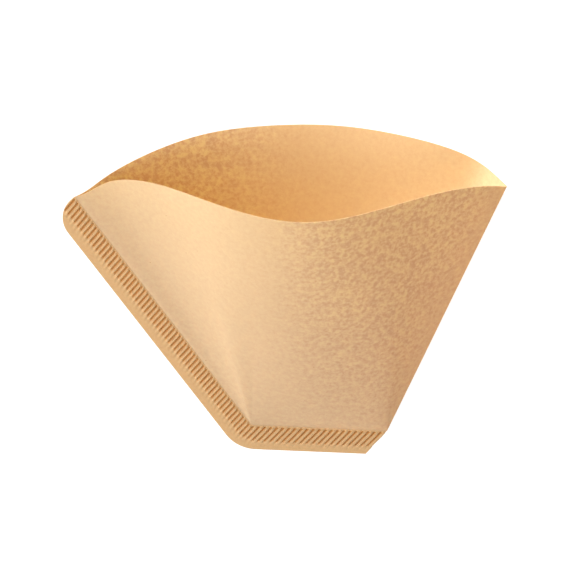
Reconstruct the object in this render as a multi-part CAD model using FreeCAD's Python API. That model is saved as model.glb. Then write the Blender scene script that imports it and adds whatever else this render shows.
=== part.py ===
import FreeCAD, Part
import math
import os

# A cone-shaped paper coffee filter, lying on its back panel with its mouth towards -Y.
# It is one sheet of paper, folded once along its side. The two plies are crimped together
# along the other side and along the base, and the paper is opened a little at the mouth.
#
# Everything is first built in the seam plane, the flat plane that both crimped seams lie in:
# x runs across the filter, z up from the base crease to the mouth, and y through the paper,
# with -y on the side of the front panel. The last step lays the filter down.
# Lengths are in millimetres and angles in degrees.

# Paper
paper_thickness = 0.2
glue_depth = 0.15

# Panels: half the base crease, the side length, and how far each side leans from upright
base_half_width = 22.9
side_length = 102.5
seam_lean = 35.6
fold_lean = 18.4
flat_fold_lean = 33.4

# Rims: how far each panel bows out of the seam plane, and how far its rim rises over its corners
front_bow = 45.0
front_rise = 14.0
back_bow = 20.0
back_rise = 17.0

# Each rim's poles, from the seam to the fold: share of the way across, of the bow and of the rise
front_rim_poles = [(0.030, 0.015, 0.18), (0.065, 0.020, 0.64), (0.218, 0.350, 0.92), (0.370, 0.840, 0.99),
                   (0.540, 1.000, 0.74), (0.734, 0.645, 0.63), (0.910, 0.180, 0.43)]
back_rim_poles = [(0.030, 0.110, 0.14), (0.030, 0.800, -0.02), (0.272, 0.950, 0.97), (0.636, 1.020, 0.92),
                  (0.928, 0.900, 0.25), (0.975, 0.800, -0.18)]

# Each panel bends along straight lines that fan out of both ends of the base crease, round a flat
# middle. The panel is worked out as flat strips between those lines, this many along the rim,
# and the two fans meet at this share of the rim
rim_strips = 72
front_meeting_share = 0.53
back_meeting_share = 0.50

# Crimped seams: the flat land, the crimped width and the plain margin outside it
crimp_land = 0.4
side_crimp_width = 5.2
side_margin = 3.5
base_crimp_width = 6.0
base_margin = 2.6
base_corner_radius = 14.0
top_corner_radius = 5.0

# Crimp ridges: one roller marks both seams with the same parallel ridges
ridge_pitch = 1.75
ridge_angle = 57.5
ridge_height = 0.5
ridge_flat_share = 0.2

# Rest: how far the seam plane tilts up towards the mouth when the filter lies on its back panel
rest_tilt = 9.95

RIM_DEGREE = 3


def point(x, z, y=0.0):
    """A point of the seam plane's frame."""
    return FreeCAD.Vector(x, y, z)


def base_end(side):
    """An end of the base crease: side is -1 at the seam and +1 at the fold."""
    return point(side * base_half_width, 0.0)


def top_corner(side):
    """The upper end of the seam (-1) or of the fold (+1)."""
    lean = math.radians(seam_lean if side < 0 else fold_lean)
    return base_end(side) + point(side * side_length * math.sin(lean), side_length * math.cos(lean))


def rim_poles(shares, bow, rise):
    """The rim's poles: along the chord between the top corners, plus the rise up and the bow out."""
    start, end = top_corner(-1), top_corner(1)
    middle = [start + (end - start) * across + point(0.0, rise * up, bow * out) for across, out, up in shares]
    return [start] + middle + [end]


def rim_points(shares, bow, rise):
    """Points spaced evenly along the rim's spline."""
    poles = rim_poles(shares, bow, rise)
    spans = len(poles) - RIM_DEGREE
    knots = [i / spans for i in range(spans + 1)]
    mults = [RIM_DEGREE + 1] + [1] * (spans - 1) + [RIM_DEGREE + 1]
    curve = Part.BSplineCurve()
    curve.buildFromPolesMultsKnots(poles, mults, knots, False, RIM_DEGREE)
    return curve.discretize(Number=rim_strips + 1)


def outer_rim_points(rim, meeting, side):
    """The rim's points moved out by the paper's thickness, square to the panel."""
    ply = point(0.0, 0.0, side * paper_thickness)
    outer = [rim[0] + ply]
    for i in range(1, len(rim) - 1):
        foot = base_end(-1 if i < meeting else 1)
        square = (rim[i + 1] - rim[i - 1]).cross(rim[i] - foot)
        square.normalize()
        outer.append(rim[i] + square * math.copysign(paper_thickness, square.y * side))
    outer.append(rim[-1] + ply)
    return outer


def flat_face(*corners):
    """A flat face between corners."""
    return Part.Face(Part.makePolygon(list(corners) + [corners[0]]))


def fan_faces(seam_foot, fold_foot, rim, meeting):
    """Flat strips from the two ends of the base crease to the rim, and the flat middle between them."""
    faces = [flat_face(seam_foot, rim[i], rim[i + 1]) for i in range(meeting)]
    faces.append(flat_face(seam_foot, rim[meeting], fold_foot))
    faces += [flat_face(fold_foot, rim[i], rim[i + 1]) for i in range(meeting, len(rim) - 1)]
    return faces


def panel_faces(shares, bow, rise, meeting_share, side):
    """A panel's outer side, its inner side and the cut edge between them: side is -1 in front."""
    ply = point(0.0, 0.0, side * paper_thickness)
    inward = point(glue_depth, 0.0)
    upward = point(0.0, glue_depth)
    meeting = round(meeting_share * rim_strips)
    rim = rim_points(shares, bow * side, rise)
    outer_rim = outer_rim_points(rim, meeting, side)
    inner_rim = [rim[0] + inward] + rim[1:-1] + [rim[-1] - inward]
    faces = fan_faces(base_end(-1) + ply, base_end(1) + ply, outer_rim, meeting)
    faces += fan_faces(base_end(-1) + inward + upward, base_end(1) - inward + upward, inner_rim, meeting)
    for i in range(rim_strips):
        faces.append(flat_face(outer_rim[i], outer_rim[i + 1], inner_rim[i]))
        faces.append(flat_face(outer_rim[i + 1], inner_rim[i + 1], inner_rim[i]))
    return faces


def cone_faces():
    """The two panels, open along the seam and the base crease, where the crimped seams join them."""
    ply = point(0.0, 0.0, paper_thickness)
    inward = point(glue_depth, 0.0)
    seam_top, fold_top, fold_foot = top_corner(-1), top_corner(1), base_end(1)
    faces = panel_faces(front_rim_poles, front_bow, front_rise, front_meeting_share, -1)
    faces += panel_faces(back_rim_poles, back_bow, back_rise, back_meeting_share, 1)
    faces.append(flat_face(fold_foot - ply, fold_top - ply, fold_top + ply, fold_foot + ply))
    faces.append(flat_face(seam_top - ply, seam_top + ply, seam_top + inward))
    faces.append(flat_face(fold_top - ply, fold_top + ply, fold_top - inward))
    return faces


def rounded_outline(corners):
    """A closed flat wire through corners, each a point and the radius that rounds it."""
    edges = []
    count = len(corners)
    ends = []
    for i in range(count):
        here, radius = corners[i]
        to_last = corners[i - 1][0] - here
        to_next = corners[(i + 1) % count][0] - here
        to_last.normalize()
        to_next.normalize()
        reach = radius / math.tan(to_last.getAngle(to_next) / 2.0)
        middle = to_last + to_next
        middle.normalize()
        centre = here + middle * math.hypot(reach, radius)
        ends.append((here + to_last * reach, centre - middle * radius, here + to_next * reach, radius))
    for i in range(count):
        first, top, last, radius = ends[i]
        if radius > 0.0:
            edges.append(Part.Arc(first, top, last).toShape())
        edges.append(Part.LineSegment(last, ends[(i + 1) % count][0]).toShape())
    return Part.Wire(edges)


def seam_region(side_width, base_width, corner_radius, tip_radius):
    """The L-shaped region outside the seam and the base crease, out to the widths given."""
    lean = math.radians(seam_lean)
    out = point(-math.cos(lean), -math.sin(lean)) * side_width
    side_direction = point(-math.sin(lean), math.cos(lean))
    seam_foot, fold_foot = base_end(-1), base_end(1)
    seam_top = top_corner(-1)
    outer_foot = seam_foot + out
    outer_corner = outer_foot - side_direction * ((outer_foot.z + base_width) / side_direction.z)
    strip_end = fold_foot - point(base_width * math.tan(math.radians(flat_fold_lean)), base_width)
    corners = [(seam_top, 0.0), (seam_top + out, tip_radius), (outer_corner, corner_radius), (strip_end, 0.0),
               (fold_foot, 0.0), (seam_foot, 0.0)]
    return Part.Face(rounded_outline(corners))


def slab(region, half_thickness):
    """A flat region of the seam plane, thickened evenly to both sides."""
    thick = region.copy()
    thick.translate(point(0.0, 0.0, -half_thickness))
    return thick.extrude(point(0.0, 0.0, 2.0 * half_thickness))


def ridged_sheet(region):
    """Two plies pressed into parallel ridges: a wave with flat crests, drawn along the ridges."""
    angle = math.radians(ridge_angle)
    along = point(math.cos(angle), math.sin(angle))
    across = point(math.sin(angle), -math.cos(angle))
    reach = region.BoundBox.DiagonalLength
    places = [vertex.Point.dot(across) for vertex in region.Vertexes]
    first = math.floor(min(places) / ridge_pitch) - 1
    last = math.ceil(max(places) / ridge_pitch) + 1
    wave = []
    for ridge in range(first, last):
        for share, level in ((0.0, -1), (ridge_flat_share, -1), (0.5, 1), (0.5 + ridge_flat_share, 1)):
            wave.append(((ridge + share) * ridge_pitch, level * ridge_height / 2.0))
    upper = [across * place + point(0.0, 0.0, level + paper_thickness) for place, level in wave]
    lower = [across * place + point(0.0, 0.0, level - paper_thickness) for place, level in wave]
    section = flat_face(*(upper + lower[::-1]))
    section.translate(along * -reach)
    return section.extrude(along * (2.0 * reach))


def seam_faces():
    """The seam and the base strip: a flat land, the crimp ridges and a plain margin.

    The two faces that the panels join are left out."""
    crimp_corner_radius = base_corner_radius - side_margin
    whole = seam_region(crimp_land + side_crimp_width + side_margin, crimp_land + base_crimp_width + base_margin,
                        base_corner_radius, top_corner_radius)
    crimped = seam_region(crimp_land + side_crimp_width, crimp_land + base_crimp_width, crimp_corner_radius, 0.0)
    land = seam_region(crimp_land, crimp_land, 0.0, 0.0)
    trimmed = crimped.common(whole)
    margin = slab(whole.cut(crimped), paper_thickness)
    band = slab(trimmed.cut(land), ridge_height + paper_thickness)
    ridges = ridged_sheet(trimmed).common(band)
    strip = slab(land, paper_thickness).fuse([ridges, margin]).removeSplitter().Solids[0]
    joins = [(base_end(-1) + top_corner(-1)) * 0.5, (base_end(-1) + base_end(1)) * 0.5]
    return [face for face in strip.Faces
            if min(face.CenterOfMass.distanceToPoint(join) for join in joins) > paper_thickness / 2.0]


def folded_paper():
    """The whole sheet as one closed solid."""
    shell = Part.makeShell(cone_faces() + seam_faces())
    shell.sewShape()
    solid = Part.makeSolid(shell.Shells[0])
    if solid.Volume < 0.0:
        solid.reverse()
    return solid


def lay_down(paper):
    """Turn the filter onto its back panel, mouth towards -Y, with the origin under its box's centre."""
    tilt = math.radians(rest_tilt)
    turn = FreeCAD.Matrix(-1.0, 0.0, 0.0, 0.0,
                          0.0, -math.sin(tilt), -math.cos(tilt), 0.0,
                          0.0, -math.cos(tilt), math.sin(tilt), 0.0,
                          0.0, 0.0, 0.0, 1.0)
    lying = paper.copy()
    lying.transformShape(turn, True)
    box = lying.optimalBoundingBox()
    lying.translate(FreeCAD.Vector(-box.Center.x, -box.Center.y, -box.ZMin))
    return lying


def main():
    paper = lay_down(folded_paper())
    os.makedirs("parts", exist_ok=True)
    paper.exportStep("parts/folded_filter_paper.step")
    box = paper.optimalBoundingBox()
    print("valid", paper.isValid(), "volume", round(paper.Volume, 1),
          "size", round(box.XLength, 2), round(box.YLength, 2), round(box.ZLength, 2))


main()
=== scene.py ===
import math

import bmesh
import bpy
import numpy as np
from mathutils import Matrix, Vector


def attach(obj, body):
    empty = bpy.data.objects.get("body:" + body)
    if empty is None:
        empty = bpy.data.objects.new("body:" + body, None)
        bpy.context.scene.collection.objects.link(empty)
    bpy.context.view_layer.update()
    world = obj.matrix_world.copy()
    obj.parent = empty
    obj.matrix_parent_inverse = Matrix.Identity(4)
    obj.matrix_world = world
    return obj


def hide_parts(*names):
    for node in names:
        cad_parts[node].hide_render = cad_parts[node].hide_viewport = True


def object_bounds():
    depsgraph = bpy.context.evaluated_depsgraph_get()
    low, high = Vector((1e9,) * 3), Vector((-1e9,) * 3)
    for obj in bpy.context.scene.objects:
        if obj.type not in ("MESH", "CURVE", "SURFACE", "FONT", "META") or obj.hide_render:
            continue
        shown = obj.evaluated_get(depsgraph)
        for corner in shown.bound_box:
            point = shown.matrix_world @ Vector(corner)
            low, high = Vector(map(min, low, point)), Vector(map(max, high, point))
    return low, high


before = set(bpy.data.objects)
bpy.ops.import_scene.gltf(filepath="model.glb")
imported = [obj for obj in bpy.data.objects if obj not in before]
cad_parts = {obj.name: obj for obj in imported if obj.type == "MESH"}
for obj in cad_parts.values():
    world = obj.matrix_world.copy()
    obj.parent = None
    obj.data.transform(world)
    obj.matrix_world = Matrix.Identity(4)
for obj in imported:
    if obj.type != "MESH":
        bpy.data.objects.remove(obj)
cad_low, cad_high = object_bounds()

# A cone-shaped paper coffee filter, opened a little at the mouth and lying on its back panel.
# It is one sheet of unbleached paper: two panels that meet in a fold on one side, and in a
# crimped seam along the other side and along the base.
#
# Everything is worked out in the seam plane, the flat plane that both crimped seams lie in:
# x runs across the filter, z up from the base crease to the mouth, and y through the paper,
# with -y on the side of the front panel. The last step lays the filter down.
# Lengths are in metres and angles in radians.

mm = 0.001
node = "folded_filter_paper"

# Paper
paper_thickness = 0.2 * mm

# Panels: half the base crease, the side length, and how far each side leans from upright. These, the
# rims' poles, the rest and the camera are least-squares fits to the photo, rounded and partly
# changed
base_half_width = 22.9 * mm
side_length = 102.5 * mm
seam_lean = math.radians(35.6)
fold_lean = math.radians(18.4)
flat_fold_lean = math.radians(33.4)

# Measured in the photo: how much longer the seam is than the fold, and how far the fold's foot is
# over the seam's foot and outside the even base crease
seam_top_rise = 1.5 * mm
fold_foot_rise = 0.9 * mm
fold_foot_reach = 0.9 * mm

# Rims: how far each panel bows out of the seam plane, and how far its rim rises over its corners
front_bow = 45.0 * mm
front_rise = 14.0 * mm
back_bow = 20.0 * mm
back_rise = 17.0 * mm

# Each rim's poles, from the seam to the fold: share of the way across, of the bow and of the rise
front_rim_poles = [(0.035, 0.015, 0.096), (0.070, 0.020, 0.56), (0.222, 0.350, 0.852), (0.374, 0.840, 0.935),
                   (0.543, 1.000, 0.70), (0.736, 0.645, 0.607), (0.911, 0.180, 0.422)]
back_rim_poles = [(0.035, 0.110, 0.07), (0.035, 0.800, -0.09), (0.276, 0.950, 0.918), (0.638, 1.020, 0.894),
                  (0.928, 0.900, 0.245), (0.975, 0.800, -0.18)]
rim_steps = 4001

# Each panel bends along straight lines that fan out of both ends of the base crease, and these
# lines change from one end to the other at this share of the rim, over this half width of it
front_meeting_share = 0.53
back_meeting_share = 0.50
meeting_half_width = 42.0 * mm

# Fold: the length of rim that its bend takes on each panel
fold_bend = 1.3 * mm

# Grid of a panel: its columns beside the seam, round the meeting place and beside the fold, the
# columns of the fold's bend, and its rows, which crowd towards the base crease by this power
seam_side_columns = 46
meeting_columns = 76
fold_side_columns = 40
bend_columns = 12
panel_rows = 78
row_power = 1.6

# The share of the height over which the outer skin's direction settles above the base crease
foot_settle = 0.02

# Puff: each panel leaves its crimped seam steeply and then eases off. Its depth, the length it
# eases over, and the lengths over which it grows from the pinched corner and from the fold
side_puff = 0.65 * mm
side_ease = 1.6 * mm
base_puff = 3.1 * mm
base_ease = 3.0 * mm
side_corner_pinch = 7.0 * mm
base_corner_pinch = 14.0 * mm
fold_pinch = 3.0 * mm

# Slow waves of the sheet: height, length across, length up and shift, and how far in from the
# side edges and from the base they fade
slow_waves = [(0.22 * mm, 7.5 * mm, 15.0 * mm, 0.7), (0.16 * mm, -19.0 * mm, 6.0 * mm, 2.1)]
side_wave_fade = 12.0 * mm
base_wave_fade = 10.0 * mm

# Crimped seams: the flat land, the crimped width and the plain margin outside it
crimp_land = 0.4 * mm
side_crimp_width = 5.75 * mm
side_margin = 3.7 * mm
base_crimp_width = 6.5 * mm
base_margin = 3.1 * mm
base_corner_radius = 12.5 * mm
top_corner_radius = 9.6 * mm
land_corner_radius = 0.01 * mm
base_corner_points = 25
top_corner_points = 41

# Crimp ridges: one roller marks both seams with the same parallel ridges. The steepness of their
# flanks, how much wider the crests are along the base, and how far their upper ends lean there
ridge_pitch = 1.66 * mm
ridge_angle = math.radians(53.0)
ridge_height = 0.85 * mm
ridge_ramp = 0.6 * mm
ridge_steepness = 2.2
crest_widening = 0.42
lean_share = 0.16
lean_fade = 1.1 * mm

# The ridges take on the base's shape from this far before the corner, over this length
base_shape_start = 2.0 * mm
base_shape_length = 8.0 * mm

# Strip's grid: lines to a ridge, the closer lines at the tip and how far they reach, and the rows
# across the crimp as shares of its width. The rows of faces from first to last get painted shade in the
# grooves
lines_to_a_ridge = 10
tip_lines = 10
tip_reach = 1.2 * mm
crimp_rows = [0.0, 0.035, 0.07, 0.12, 0.2, 0.35, 0.5, 0.65, 0.8, 0.88, 0.93, 0.965, 1.0]
first_groove_shaded_row = 3
last_groove_shaded_row = 11

# The thin tongue of the strip between the panels
tongue_depth = 0.3 * mm
tongue_half_thickness = 0.03 * mm

# Mesh: points closer than this are merged, shorter edges are dropped, and edges that bend more
# than this stay sharp
merge_distance = 0.001 * mm
drop_distance = 0.0005 * mm
sharp_edge = math.radians(50.0)

# Rest: how far the seam plane tilts up towards the mouth when the filter lies on its back panel
rest_tilt = math.radians(9.95)

# Camera, in the seam plane's frame: the point it looks at, its height angle, turn and roll, its
# distance and its lens
camera_aim = np.array([-13.72, 0.0, 56.23]) * mm
camera_height = math.radians(29.34)
camera_turn = math.radians(1.366)
camera_roll = math.radians(2.738)
camera_distance = 649.7 * mm
camera_lens = 123.45
camera_sensor = 36.0
camera_near = 0.01
camera_far = 20.0

# Paper colours: the face's darker and lighter fibres, on the panels and where two plies are
# pressed, and the places of these two on the grain's noise
panel_face = [(0.955, 0.845, 0.57), (0.99, 0.885, 0.61)]
pressed_face = [(0.89, 0.63, 0.34), (0.97, 0.71, 0.40)]
fibre_places = (0.25, 0.75)

# The share of the light that goes into the paper, on the panels and where two plies are pressed
panel_light_through = 0.47
pressed_light_through = 0.28

# Fibre clouds: their places on the noise, the light that comes through thick and thin paper, the
# shade of thick paper, and their contrast, which is painted shade: high and mottled where the sheet is in
# shade, low where it is lit, and where it changes, in square metres
cloud_places = (0.36, 0.64)
light_through_clouds = [(0.76, 0.38, 0.07), (1.0, 0.76, 0.28)]
thick_shade = (0.93, 0.90, 0.83)
painted_shade_cloud_contrast = 1.45
lit_cloud_contrast = 0.3
painted_shade_cloud_until = -650.0 * mm * mm
lit_cloud_from = 200.0 * mm * mm

# Specks and grooves: the specks' tint and the grooves' painted shade, and the places of each on the distance
# or on the wave's height
no_shade = (1.0, 1.0, 1.0)
speck_shade = (0.42, 0.25, 0.12)
speck_places = (0.018, 0.03)
painted_groove_shade = (0.60, 0.42, 0.26)
painted_groove_shade_places = (0.03, 0.42)

# Surface: how strongly and how deep the grain stands out, how rough it is, and its faint sheen
grain_strength = 0.35
grain_depth = 0.05 * mm
grain_roughness = (0.82, 0.98)
paper_sheen = 0.2

# Table: a disc with a low wall round it
table_radius = 3.0
table_sides = 96
wall_height = 0.6
table_gap = 0.05 * mm
table_grey = 0.4
table_roughness = 0.9
table_glow = 0.9

# Soft lights: name, direction in the seam plane's frame, size and power. They look at a point in the
# middle of the filter, and every light is at one distance from the place it looks at. The powers
# began as a fit to the photo's mean tones, and were then changed
soft_lights = [("key_light", (-0.85, -0.5, 0.0), 0.6, 5.6), ("front_light", (-0.4, -0.9, -0.1), 0.6, 9.0),
               ("mouth_light", (-0.7, 0.03, 0.71), 0.3, 7.0)]
light_distance = 1.2
lit_middle = (0.0, 0.0, 0.03)
world_strength = 0.04

# Inside light: a narrow light through the mouth, its direction, the place it lights on the back
# panel, its power, its angle, the share of soft edge and its own radius
inside_direction = np.array([-0.45, -0.35, 0.82])
inside_lit_place = np.array([34.0, 12.0, 98.0]) * mm
inside_power = 64.0
inside_angle = math.radians(6.0)
inside_soft_edge = 0.8
inside_radius = 0.04

# The seam plane's own directions: up along the seam, square to it into the panel, up along the
# fold, square to it into the panel, and along and across the crimp ridges
up_seam = np.array([-math.sin(seam_lean), 0.0, math.cos(seam_lean)])
into_panel = np.array([math.cos(seam_lean), 0.0, math.sin(seam_lean)])
up_fold = np.array([math.sin(fold_lean), 0.0, math.cos(fold_lean)])
square_to_fold = np.array([math.cos(fold_lean), 0.0, -math.sin(fold_lean)])
along_ridge = np.array([math.cos(ridge_angle), 0.0, math.sin(ridge_angle)])
across_ridge = np.array([math.sin(ridge_angle), 0.0, -math.cos(ridge_angle)])
forward = np.array([0.0, -1.0, 0.0])

# The panels' four corners
seam_foot = np.array([-base_half_width, 0.0, 0.0])
fold_foot = np.array([base_half_width + fold_foot_reach, 0.0, fold_foot_rise])
seam_top = seam_foot + up_seam * (side_length + seam_top_rise)
fold_top = np.array([base_half_width + fold_foot_reach, 0.0, 0.0]) + up_fold * side_length


def smooth_step(x):
    """0 below 0, 1 above 1, and 3x^2 - 2x^3 between."""
    x = np.clip(x, 0.0, 1.0)
    return x * x * (3.0 - 2.0 * x)


def eased(distance, length):
    """1 - exp(-distance / length): 0 at the edge, and 1 well inside."""
    return 1.0 - np.exp(-np.maximum(distance, 0.0) / length)


def rim_line(shares, bow, rise):
    """A rim as a dense line of points and the length walked to each of them.

    It is a clamped uniform cubic B-spline, worked out by the Cox and de Boor rule: each basis of a
    degree is two of the last degree, weighed by how far the parameter is between their knots."""
    inner = [seam_top + (fold_top - seam_top) * across + np.array([0.0, bow * out, rise * up])
             for across, out, up in shares]
    poles = np.array([seam_top] + inner + [fold_top])
    spans = len(poles) - 3
    knots = np.concatenate([np.zeros(3), np.linspace(0.0, 1.0, spans + 1), np.ones(3)])
    t = np.linspace(0.0, 1.0 - 1e-9, rim_steps)
    basis = [((t >= low) & (t < high)).astype(float) for low, high in zip(knots[:-1], knots[1:])]
    for degree in (1, 2, 3):
        raised = []
        for i in range(len(basis) - 1):
            rise_span = knots[i + degree] - knots[i]
            fall_span = knots[i + degree + 1] - knots[i + 1]
            rising = (t - knots[i]) / rise_span * basis[i] if rise_span > 0.0 else 0.0
            falling = (knots[i + degree + 1] - t) / fall_span * basis[i + 1] if fall_span > 0.0 else 0.0
            raised.append(rising + falling)
        basis = raised
    points = np.array(basis).T @ poles
    steps = np.linalg.norm(np.diff(points, axis=0), axis=1)
    return points, np.concatenate([[0.0], np.cumsum(steps)])


def rim_at(line, lengths):
    """Points of a rim line at the lengths given."""
    points, walked = line
    return np.stack([np.interp(lengths, walked, points[:, k]) for k in range(3)], axis=-1)


def panel_columns(line, meeting_share):
    """Where a panel's columns stand along its rim, and how far along the base crease each one's foot is.

    The feet stay at the seam's end, slide smoothly across the crease round the meeting place, and stay at
    the fold's end."""
    length = line[1][-1]
    meeting = length * meeting_share
    before, after = meeting - meeting_half_width, meeting + meeting_half_width
    left = np.linspace(0.0, before, seam_side_columns)
    middle = np.linspace(before, after, meeting_columns)[1:-1]
    right = np.linspace(after, length - fold_bend, fold_side_columns)
    stations = np.concatenate([left, middle, right])
    slide = smooth_step((stations - before) / (2.0 * meeting_half_width))
    return stations, slide


def puffed(points, rows, side):
    """How far a panel stands off its own straight lines, in y.

    Beside the seam and the base crease it is depth * (1 - exp(-distance / ease)), less near the pinched
    corner, the fold and the rim, plus the slow waves of the sheet, each
    height * sin(x / length across + z / length up + shift)."""
    from_seam = (points - seam_foot) @ into_panel
    up_from_corner = (points - seam_foot) @ up_seam
    from_fold = (fold_foot - points) @ square_to_fold
    past_corner = points[..., 0] - seam_foot[0]
    crease_share = np.clip(past_corner / (2.0 * base_half_width), 0.0, 1.0)
    from_crease = points[..., 2] - fold_foot_rise * crease_share
    beside_seam = side_puff * eased(from_seam, side_ease) * eased(up_from_corner, side_corner_pinch)
    beside_seam = beside_seam * (1.0 - rows ** 3)
    beside_base = base_puff * eased(from_crease, base_ease) * eased(past_corner, base_corner_pinch)
    beside_base = beside_base * eased(from_fold, fold_pinch) * (1.0 - rows) ** 2
    held = eased(from_seam, side_wave_fade) * eased(from_crease, base_wave_fade)
    held = held * eased(from_fold, side_wave_fade)
    waves = sum(height * np.sin(points[..., 0] / across + points[..., 2] / up + shift)
                for height, across, up, shift in slow_waves)
    return side * (beside_seam + beside_base + held * waves)


def mouth_profile():
    """The columns of the whole opened cone: the front rim from seam to fold, the bend of the fold, and
    the back rim from fold to seam. Gives rim points, feet, and the turn of the bend from 0 to pi.

    The bend's rim is the curve (1 - u)^2 * front end + 2 u (1 - u) * fold top + u^2 * back end."""
    front_line = rim_line(front_rim_poles, -front_bow, front_rise)
    back_line = rim_line(back_rim_poles, back_bow, back_rise)
    front_stations, front_slide = panel_columns(front_line, front_meeting_share)
    back_stations, back_slide = panel_columns(back_line, back_meeting_share)
    front_rim = rim_at(front_line, front_stations)
    back_rim = rim_at(back_line, back_stations)[::-1]
    u = np.linspace(0.0, 1.0, bend_columns)[1:-1, None]
    bend = (1.0 - u) ** 2 * front_rim[-1] + 2.0 * u * (1.0 - u) * fold_top + u ** 2 * back_rim[0]
    rim = np.concatenate([front_rim, bend, back_rim])
    slide = np.concatenate([front_slide, np.ones(len(bend)), back_slide[::-1]])
    turn = np.concatenate([np.zeros(len(front_rim)), u[:, 0] * math.pi, np.full(len(back_rim), math.pi)])
    feet = seam_foot + slide[:, None] * (fold_foot - seam_foot)
    return rim, feet, turn


def opened_panels():
    """Both panels as one closed skin, in vertices and quads.

    A point is foot + t * (rim - foot) + puff, with t from the base crease (0) to the rim (1), the row's
    share of all rows to the row power. The outer skin is the inner one moved out by the paper's thickness
    along its normal, the cross product of the two grid directions."""
    rim, feet, turn = mouth_profile()
    rows = np.linspace(0.0, 1.0, panel_rows) ** row_power
    inner = feet[None] + rows[:, None, None] * (rim - feet)[None]
    side = -np.cos(turn)[None]
    inner[..., 1] += puffed(inner, rows[:, None], side)
    normal = np.cross(np.gradient(inner, axis=1), np.gradient(inner, axis=0))
    length = np.linalg.norm(normal, axis=2, keepdims=True)
    normal = normal / np.maximum(length, 1e-12)
    foot_normal = np.stack([np.sin(turn), -np.cos(turn), np.zeros(len(turn))], axis=1)
    settle = smooth_step(rows / foot_settle)[:, None, None]
    normal = foot_normal[None] * (1.0 - settle) + normal * settle
    normal[:, 0] = forward
    normal[:, -1] = -forward
    normal = normal / np.linalg.norm(normal, axis=2, keepdims=True)
    outer = inner + normal * paper_thickness
    height, width = inner.shape[:2]
    index = np.arange(height * width).reshape(height, width)
    across = index + height * width
    quads = [grid_quads(index)[:, ::-1], grid_quads(across)]
    quads.append(bridge_quads(across[-1], index[-1]))
    quads.append(bridge_quads(across[0, :width // 2], across[0, ::-1][:width // 2])[:, ::-1])
    quads.append(bridge_quads(across[:, 0], across[:, -1]))
    return np.concatenate([inner.reshape(-1, 3), outer.reshape(-1, 3)]), np.concatenate(quads)


def grid_quads(index):
    """The quads of a grid of vertex numbers."""
    return np.stack([index[:-1, :-1], index[:-1, 1:], index[1:, 1:], index[1:, :-1]], axis=-1).reshape(-1, 4)


def bridge_quads(first, second):
    """Quads between two lines of vertex numbers."""
    return np.stack([first[:-1], first[1:], second[1:], second[:-1]], axis=-1).reshape(-1, 4)


def to_ridges(points):
    """Points of the seam plane as (across the ridges, along the ridges)."""
    return np.stack([points @ across_ridge, points @ along_ridge], axis=-1)


def band_line(side_width, base_width, radius):
    """A line that runs outside the seam and the base crease at the widths given, rounded at the corner.

    The corner's arc is centre - radius * (sin(angle) across + cos(angle) up)."""
    side_start = seam_top - into_panel * side_width + up_seam * side_crimp_width
    side_foot = seam_foot - into_panel * side_width
    corner = side_foot - up_seam * ((side_foot[2] + base_width) / up_seam[2])
    end = fold_foot - np.array([base_width * math.tan(flat_fold_lean), 0.0, base_width])
    turn = math.pi / 2.0 - seam_lean
    reach = radius * math.tan(turn / 2.0)
    centre = corner + np.array([reach, 0.0, radius])
    angles = np.linspace(turn, 0.0, base_corner_points)[:, None]
    arc = centre - radius * (np.sin(angles) * [1.0, 0.0, 0.0] + np.cos(angles) * [0.0, 0.0, 1.0])
    return to_ridges(np.concatenate([[side_start], arc, [end]]))


def strip_outline():
    """The strip's upper and lower edge, from its rounded tip to its end at the fold.

    The tip is centre + radius * (cos(angle) up the seam - sin(angle) into the panel), a quarter circle."""
    side_width = crimp_land + side_crimp_width + side_margin
    base_width = crimp_land + base_crimp_width + base_margin
    centre = seam_top - into_panel * (side_width - top_corner_radius) - up_seam * top_corner_radius
    angles = np.linspace(0.0, math.pi / 2.0, top_corner_points)[:, None]
    tip = to_ridges(centre + top_corner_radius * (np.cos(angles) * up_seam - np.sin(angles) * into_panel))
    split = int(np.argmin(tip[:, 0]))
    outer = band_line(side_width, base_width, base_corner_radius)
    upper = np.concatenate([tip[:split + 1][::-1], to_ridges(np.array([seam_top, seam_foot, fold_foot]))])
    lower = np.concatenate([tip[split:], outer[1:]])
    return upper, lower


def strip_lines(upper, lower):
    """Where the strip's lines lie across the ridges: evenly over each ridge, closer at the tip, and one
    at each corner of the seam, for the upper and the lower edge."""
    start, end = upper[0, 0], upper[-1, 0]
    even = np.arange(start, end, ridge_pitch / lines_to_a_ridge)
    close = start + tip_reach * np.linspace(0.0, 1.0, tip_lines) ** 2
    corners = upper[-3:, 0]
    upper_at = np.unique(np.concatenate([even, close, corners]))
    lower_at = start + (upper_at - start) * (lower[-1, 0] - start) / (end - start)
    return upper_at, lower_at


def ridge_wave(p, q_from_top, base_share):
    """The crimp's height over its middle: tanh(k (cos(2 pi p / pitch) + c)) / tanh(k), about -1 to 1.

    c widens the crests along the base, and the wave leans a little at the ridges' upper ends."""
    lean = lean_share * ridge_pitch * np.exp(-q_from_top / lean_fade) * base_share
    phase = 2.0 * math.pi * (p + lean) / ridge_pitch
    widen = crest_widening * base_share
    return np.tanh(ridge_steepness * (np.cos(phase) + widen)) / math.tanh(ridge_steepness)


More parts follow.
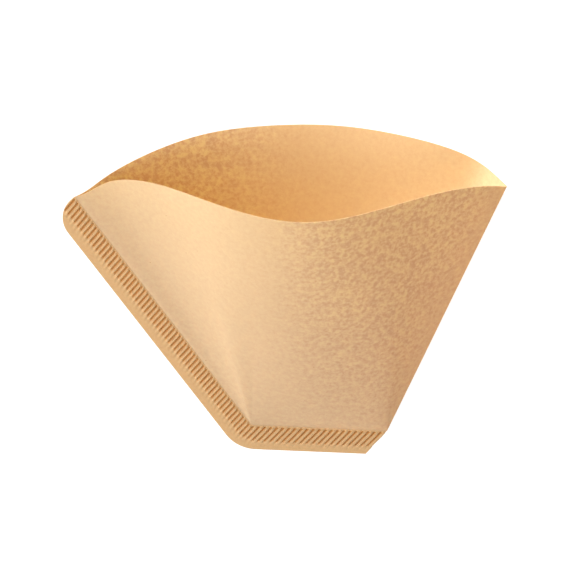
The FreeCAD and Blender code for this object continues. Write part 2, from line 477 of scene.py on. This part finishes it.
def crimped_strip():
    """The L-shaped crimped strip as one closed skin, in vertices, quads and the number of each quad's
    paper: 1 for plain pressed paper and 2 for the rows across the crimp, whose paper gets painted shade in
    its grooves.

    Its lines run along the ridges, from the upper edge, through the land's and the crimp's edges, to the
    lower edge. Its height is the ridge wave times a window that rises and falls at the crimp's edges, and
    both skins move together, one paper thickness to each side of it. A thin tongue goes in between the
    panels, so that the joint is closed."""
    upper, lower = strip_outline()
    land = band_line(crimp_land, crimp_land, land_corner_radius)
    crimp = band_line(crimp_land + side_crimp_width, crimp_land + base_crimp_width,
                      base_corner_radius - side_margin)
    upper_at, lower_at = strip_lines(upper, lower)
    high = np.interp(upper_at, upper[:, 0], upper[:, 1])
    low = np.interp(lower_at, lower[:, 0], lower[:, 1])
    land_at = np.interp(upper_at, land[:, 0], land[:, 1])
    crimp_at = np.interp(upper_at, crimp[:, 0], crimp[:, 1])
    land_row = np.clip(land_at, low, high)
    crimp_row = np.clip(crimp_at, low, high)
    crimp_part = land_row + np.array(crimp_rows)[:, None] * (crimp_row - land_row)
    margin_middle = crimp_row + 0.5 * (low - crimp_row)
    q = np.concatenate([high[None], crimp_part, margin_middle[None], low[None]])
    share = (high - q) / np.maximum(high - low, 1e-9)
    p = upper_at + share * (lower_at - upper_at)
    window = smooth_step((land_at - q) / ridge_ramp) * smooth_step((q - crimp_at) / ridge_ramp)
    base_share = smooth_step((p - seam_foot @ across_ridge + base_shape_start) / base_shape_length)
    height = ridge_height / 2.0 * ridge_wave(p, np.maximum(land_at - q, 0.0), base_share) * window
    flat = p[..., None] * across_ridge + q[..., None] * along_ridge
    front_skin, back_skin = flat.copy(), flat.copy()
    front_skin[..., 1] = -paper_thickness - height
    back_skin[..., 1] = paper_thickness - height
    tongue = flat[:1] + tongue_depth * along_ridge
    tongue_front, tongue_back = tongue.copy(), tongue.copy()
    tongue_front[..., 1] = -tongue_half_thickness
    tongue_back[..., 1] = tongue_half_thickness
    front_skin = np.concatenate([tongue_front, front_skin])
    back_skin = np.concatenate([tongue_back, back_skin])
    height_count, width = front_skin.shape[:2]
    first = np.arange(height_count * width).reshape(height_count, width)
    second = first + height_count * width
    skins = [grid_quads(first), grid_quads(second)[:, ::-1]]
    edges = [bridge_quads(second[0], first[0]), bridge_quads(first[-1], second[-1]),
             bridge_quads(first[:, 0], second[:, 0]), bridge_quads(second[:, -1], first[:, -1])]
    row = np.arange(len(skins[0])) // (width - 1)
    # paper 2 carries painted shade in the grooves
    painted_groove_shade_on = np.where((row >= first_groove_shaded_row) & (row <= last_groove_shaded_row), 2, 1)
    papers = np.concatenate([painted_groove_shade_on, painted_groove_shade_on, np.ones(sum(len(edge) for edge in edges), int)])
    points = np.concatenate([front_skin.reshape(-1, 3), back_skin.reshape(-1, 3)])
    return points, np.concatenate(skins + edges), papers


def lying(directions):
    """Directions of the seam plane's frame as they are once the filter lies on its back panel.

    (x, y, z) becomes (-x, -y sin(tilt) - z cos(tilt), -y cos(tilt) + z sin(tilt))."""
    s, c = math.sin(rest_tilt), math.cos(rest_tilt)
    turn = np.array([[-1.0, 0.0, 0.0], [0.0, -s, -c], [0.0, -c, s]])
    return directions @ turn.T


def resting_place():
    """How far the laid-down points move, so that the lowest one is on the floor and the outline's
    middle is where the frame has it."""
    points = np.concatenate([lying(opened_panels()[0]), lying(crimped_strip()[0])])
    low, high = points.min(axis=0), points.max(axis=0)
    cad = (np.array(cad_low) + np.array(cad_high)) / 2.0
    place = cad - (low + high) / 2.0
    place[2] = cad_low[2] - low[2]
    return place


def folded_sheet(place):
    """The whole filter as one mesh: the opened panels and the crimped strip."""
    panel_points, panel_quads = opened_panels()
    strip_points, strip_quads, strip_papers = crimped_strip()
    points = lying(np.concatenate([panel_points, strip_points])) + place
    quads = np.concatenate([panel_quads, strip_quads + len(panel_points)])
    papers = np.concatenate([np.zeros(len(panel_quads), int), strip_papers])
    mesh = bpy.data.meshes.new("filter_sheet")
    mesh.from_pydata(points, [], quads)
    mesh.polygons.foreach_set("material_index", papers)
    mesh.update()
    sheet = bpy.data.objects.new("filter_sheet", mesh)
    bpy.context.scene.collection.objects.link(sheet)
    tidy_mesh(mesh)
    mesh.materials.append(filter_paper("unbleached_filter_paper", panel_light_through, panel_face, place))
    mesh.materials.append(filter_paper("pressed_double_paper", pressed_light_through, pressed_face, place))
    mesh.materials.append(filter_paper("crimped_double_paper_painted_groove_shade", pressed_light_through, pressed_face, place,
                                       painted_groove_shade_on=True))
    return sheet


def tidy_mesh(mesh):
    """Merges the doubled points at the fans' feet and the strip's tip, drops faces left with no area,
    and shades smooth between soft edges."""
    work = bmesh.new()
    work.from_mesh(mesh)
    bmesh.ops.remove_doubles(work, verts=work.verts, dist=merge_distance)
    bmesh.ops.dissolve_degenerate(work, dist=drop_distance, edges=work.edges)
    bmesh.ops.recalc_face_normals(work, faces=work.faces)
    work.to_mesh(mesh)
    work.free()
    mesh.shade_smooth()
    mesh.set_sharp_from_angle(angle=sharp_edge)


def new_node(tree, kind, **settings):
    """A shader node with its settings; input values are given by name with underscores for spaces."""
    made = tree.nodes.new(kind)
    for name, value in settings.items():
        if hasattr(made, name):
            setattr(made, name, value)
        else:
            made.inputs[name.replace("_", " ")].default_value = value
    return made


def worked_out(tree, operation, *values):
    """The result of a sum on the values given, each a node's output or a number."""
    made = new_node(tree, "ShaderNodeMath", operation=operation)
    for socket, value in zip(made.inputs, values):
        if isinstance(value, bpy.types.NodeSocket):
            tree.links.new(value, socket)
        else:
            socket.default_value = value
    return made.outputs["Value"]


def between(tree, source, places, results, curve="LINEAR"):
    """A source's values, changed from between two places to between two results."""
    made = new_node(tree, "ShaderNodeMapRange", interpolation_type=curve, From_Min=places[0],
                    From_Max=places[1], To_Min=results[0], To_Max=results[1])
    tree.links.new(source, made.inputs["Value"])
    return made.outputs["Result"]


def coloured(tree, source, places, colours):
    """The colour between two colours, for a source's values between two places."""
    ramp = tree.nodes.new("ShaderNodeValToRGB")
    for element, place, colour in zip(ramp.color_ramp.elements, places, colours):
        element.position = place
        element.color = (*colour, 1.0)
    tree.links.new(source, ramp.inputs["Fac"])
    return ramp.outputs["Color"]


def shaded(tree, colour, shade):
    """A colour times a shade."""
    product = new_node(tree, "ShaderNodeMix", data_type="RGBA", blend_type="MULTIPLY")
    product.inputs[0].default_value = 1.0
    tree.links.new(colour, product.inputs[6])
    tree.links.new(shade, product.inputs[7])
    return product.outputs[2]


def textured(tree, coordinates, kind, output, **settings):
    """One output of a procedural texture on the object's own coordinates."""
    texture = new_node(tree, kind, **settings)
    tree.links.new(coordinates, texture.inputs["Vector"])
    return texture.outputs[output]


def distance_along(tree, coordinates, direction, place):
    """How far a point of the lying filter is along a direction of the seam plane's frame."""
    laid = lying(direction)
    along = new_node(tree, "ShaderNodeVectorMath", operation="DOT_PRODUCT")
    tree.links.new(coordinates, along.inputs[0])
    along.inputs[1].default_value = laid
    return worked_out(tree, "SUBTRACT", along.outputs["Value"], float(place @ laid))


def painted_groove_tint(tree, coordinates, place):
    """Painted shade in the pressed grooves, standing in for the shadow of the narrow slots.

    The tint follows the cosine of 2 pi times the distance across the ridges over their pitch, the same
    wave as their height."""
    distance = distance_along(tree, coordinates, across_ridge, place)
    wave = worked_out(tree, "COSINE", worked_out(tree, "MULTIPLY", distance, 2.0 * math.pi / ridge_pitch))
    height = between(tree, wave, (-1.0, 1.0), (0.0, 1.0))
    return coloured(tree, height, painted_groove_shade_places, [painted_groove_shade, no_shade])


def fibre_clouds_and_painted_shade(tree, coordinates, place):
    """Cloudy fibres from 0 to 1, with painted shade: noise whose contrast is raised in the parts of the
    sheet that are in shade,
    so that they come out mottled: on the front panel towards the fold, and on the back panel towards the
    seam.
    These are where x times the height over the seam plane is below zero."""
    noise = textured(tree, coordinates, "ShaderNodeTexNoise", "Fac", Scale=620.0, Detail=5.0,
                     Roughness=0.72, Distortion=0.1)
    across = textured(tree, coordinates, "ShaderNodeSeparateXYZ", "X")
    over = distance_along(tree, coordinates, forward, place)
    product = worked_out(tree, "MULTIPLY", across, over)
    # painted shade: the noise's contrast rises where the sheet is in shade and falls where it is lit
    contrast = between(tree, product, (painted_shade_cloud_until, lit_cloud_from), (painted_shade_cloud_contrast, lit_cloud_contrast),
                       "SMOOTHSTEP")
    return worked_out(tree, "MULTIPLY_ADD", worked_out(tree, "SUBTRACT", noise, 0.5), contrast, 0.5)


def filter_paper(name, light_through, face_colours, place, painted_groove_shade_on=False):
    """Unbleached filter paper: a tan matt face, and light that comes through it orange and cloudy,
    because the fibres lie thicker and thinner; the clouds are made stronger as painted shade where the sheet
    is in shade.
    The crimped paper also gets painted shade in its grooves. light_through is the share of light that goes
    in."""
    material = bpy.data.materials.new(name)
    material.use_nodes = True
    tree = material.node_tree
    tree.nodes.clear()
    link = tree.links.new
    coordinates = new_node(tree, "ShaderNodeTexCoord").outputs["Object"]
    shade_painted_clouds = fibre_clouds_and_painted_shade(tree, coordinates, place)
    grain = textured(tree, coordinates, "ShaderNodeTexNoise", "Fac", Scale=2300.0, Detail=3.0, Roughness=0.6)
    specks = textured(tree, coordinates, "ShaderNodeTexVoronoi", "Distance", Scale=150.0)
    colour = coloured(tree, grain, fibre_places, face_colours)
    colour = shaded(tree, colour, coloured(tree, specks, speck_places, [speck_shade, no_shade]))
    # painted shade: the thick paper's shade stands out most where the clouds' contrast is raised
    colour = shaded(tree, colour, coloured(tree, shade_painted_clouds, cloud_places, [thick_shade, no_shade]))
    # painted shade in the crimp's grooves
    if painted_groove_shade_on:
        colour = shaded(tree, colour, painted_groove_tint(tree, coordinates, place))
    tooth = new_node(tree, "ShaderNodeBump", Strength=grain_strength, Distance=grain_depth)
    link(grain, tooth.inputs["Height"])
    matt = new_node(tree, "ShaderNodeBsdfPrincipled", Specular_IOR_Level=paper_sheen)
    link(colour, matt.inputs["Base Color"])
    link(between(tree, grain, (0.0, 1.0), grain_roughness), matt.inputs["Roughness"])
    link(tooth.outputs["Normal"], matt.inputs["Normal"])
    glow = new_node(tree, "ShaderNodeBsdfTranslucent")
    link(coloured(tree, shade_painted_clouds, cloud_places, light_through_clouds), glow.inputs["Color"])
    link(tooth.outputs["Normal"], glow.inputs["Normal"])
    both = new_node(tree, "ShaderNodeMixShader", Fac=light_through)
    link(matt.outputs["BSDF"], both.inputs[1])
    link(glow.outputs["BSDF"], both.inputs[2])
    out = new_node(tree, "ShaderNodeOutputMaterial")
    link(both.outputs["Shader"], out.inputs["Surface"])
    return material


def light_table():
    """The floor: a round white table with a low white wall round it, glowing as in a bright studio.

    Its edge is radius * (cos(turn), sin(turn)), once on the floor and once at the wall's height."""
    turn = np.linspace(0.0, 2.0 * math.pi, table_sides, endpoint=False)
    rim = np.stack([table_radius * np.cos(turn), table_radius * np.sin(turn), np.zeros(table_sides)], axis=1)
    raised = rim + [0.0, 0.0, wall_height]
    index = np.arange(table_sides)
    onward = np.roll(index, -1)
    wall = np.stack([index, index + table_sides, onward + table_sides, onward], axis=1)
    mesh = bpy.data.meshes.new("light_table")
    mesh.from_pydata(np.concatenate([rim, raised]).tolist(), [], [index.tolist()] + wall.tolist())
    floor = bpy.data.objects.new("light_table", mesh)
    floor.location = (0.0, 0.0, -table_gap)
    bpy.context.scene.collection.objects.link(floor)
    material = bpy.data.materials.new("white_table_top")
    material.use_nodes = True
    top = material.node_tree.nodes["Principled BSDF"]
    top.inputs["Base Color"].default_value = (table_grey, table_grey, table_grey, 1.0)
    top.inputs["Roughness"].default_value = table_roughness
    top.inputs["Specular IOR Level"].default_value = 0.0
    top.inputs["Emission Color"].default_value = (1.0, 1.0, 1.0, 1.0)
    top.inputs["Emission Strength"].default_value = table_glow
    mesh.materials.append(material)


def put_light(data, lit_place, direction):
    """Puts a light in a direction of the seam plane's frame from the place it looks at."""
    light = bpy.data.objects.new(data.name, data)
    towards = Vector(lying(np.array(direction))).normalized()
    light.location = Vector(lit_place) + towards * light_distance
    light.rotation_mode = "QUATERNION"
    light.rotation_quaternion = towards.to_track_quat("Z", "Y")
    bpy.context.scene.collection.objects.link(light)


def soft_light(name, direction, size, power):
    """A square light that looks at the middle of the filter."""
    data = bpy.data.lights.new(name, "AREA")
    data.shape = "SQUARE"
    data.size = size
    data.energy = power
    put_light(data, lit_middle, direction)


def inside_light(place):
    """A narrow light through the mouth onto the fold's side of the back panel."""
    data = bpy.data.lights.new("inside_light", "SPOT")
    data.energy = inside_power
    data.spot_size = inside_angle
    data.spot_blend = inside_soft_edge
    data.shadow_soft_size = inside_radius
    put_light(data, lying(inside_lit_place) + place, inside_direction)


def studio(place):
    """Faint white surroundings, and lights from the left, from the front and through the mouth."""
    scene = bpy.context.scene
    world = bpy.data.worlds.new("white_surroundings")
    world.use_nodes = True
    background = world.node_tree.nodes["Background"]
    background.inputs["Color"].default_value = (1.0, 1.0, 1.0, 1.0)
    background.inputs["Strength"].default_value = world_strength
    scene.world = world
    scene.view_settings.view_transform = "Standard"
    for name, direction, size, power in soft_lights:
        soft_light(name, direction, size, power)
    inside_light(place)


def photo_camera(place):
    """The camera at the photograph's viewing angle."""
    h, a, r = camera_height, camera_turn, camera_roll
    backward = np.array([math.sin(a) * math.cos(h), -math.cos(a) * math.cos(h), math.sin(h)])
    right = np.array([math.cos(a), math.sin(a), 0.0])
    up = np.cross(backward, right)
    rolled_right = right * math.cos(r) + up * math.sin(r)
    rolled_up = -right * math.sin(r) + up * math.cos(r)
    axes = lying(np.stack([rolled_right, rolled_up, backward]))
    matrix = Matrix([list(row) for row in axes]).transposed().to_4x4()
    matrix.translation = Vector(lying(camera_aim + backward * camera_distance) + place)
    data = bpy.data.cameras.new("camera")
    data.lens = camera_lens
    data.sensor_width = camera_sensor
    data.clip_start = camera_near
    data.clip_end = camera_far
    camera = bpy.data.objects.new("camera", data)
    camera.matrix_world = matrix
    bpy.context.scene.collection.objects.link(camera)
    bpy.context.scene.camera = camera


def main():
    """Builds the filter, its table, its lights and its camera."""
    place = resting_place()
    photo_camera(place)
    sheet = folded_sheet(place)
    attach(sheet, "root")
    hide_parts(node)
    light_table()
    studio(place)


main()
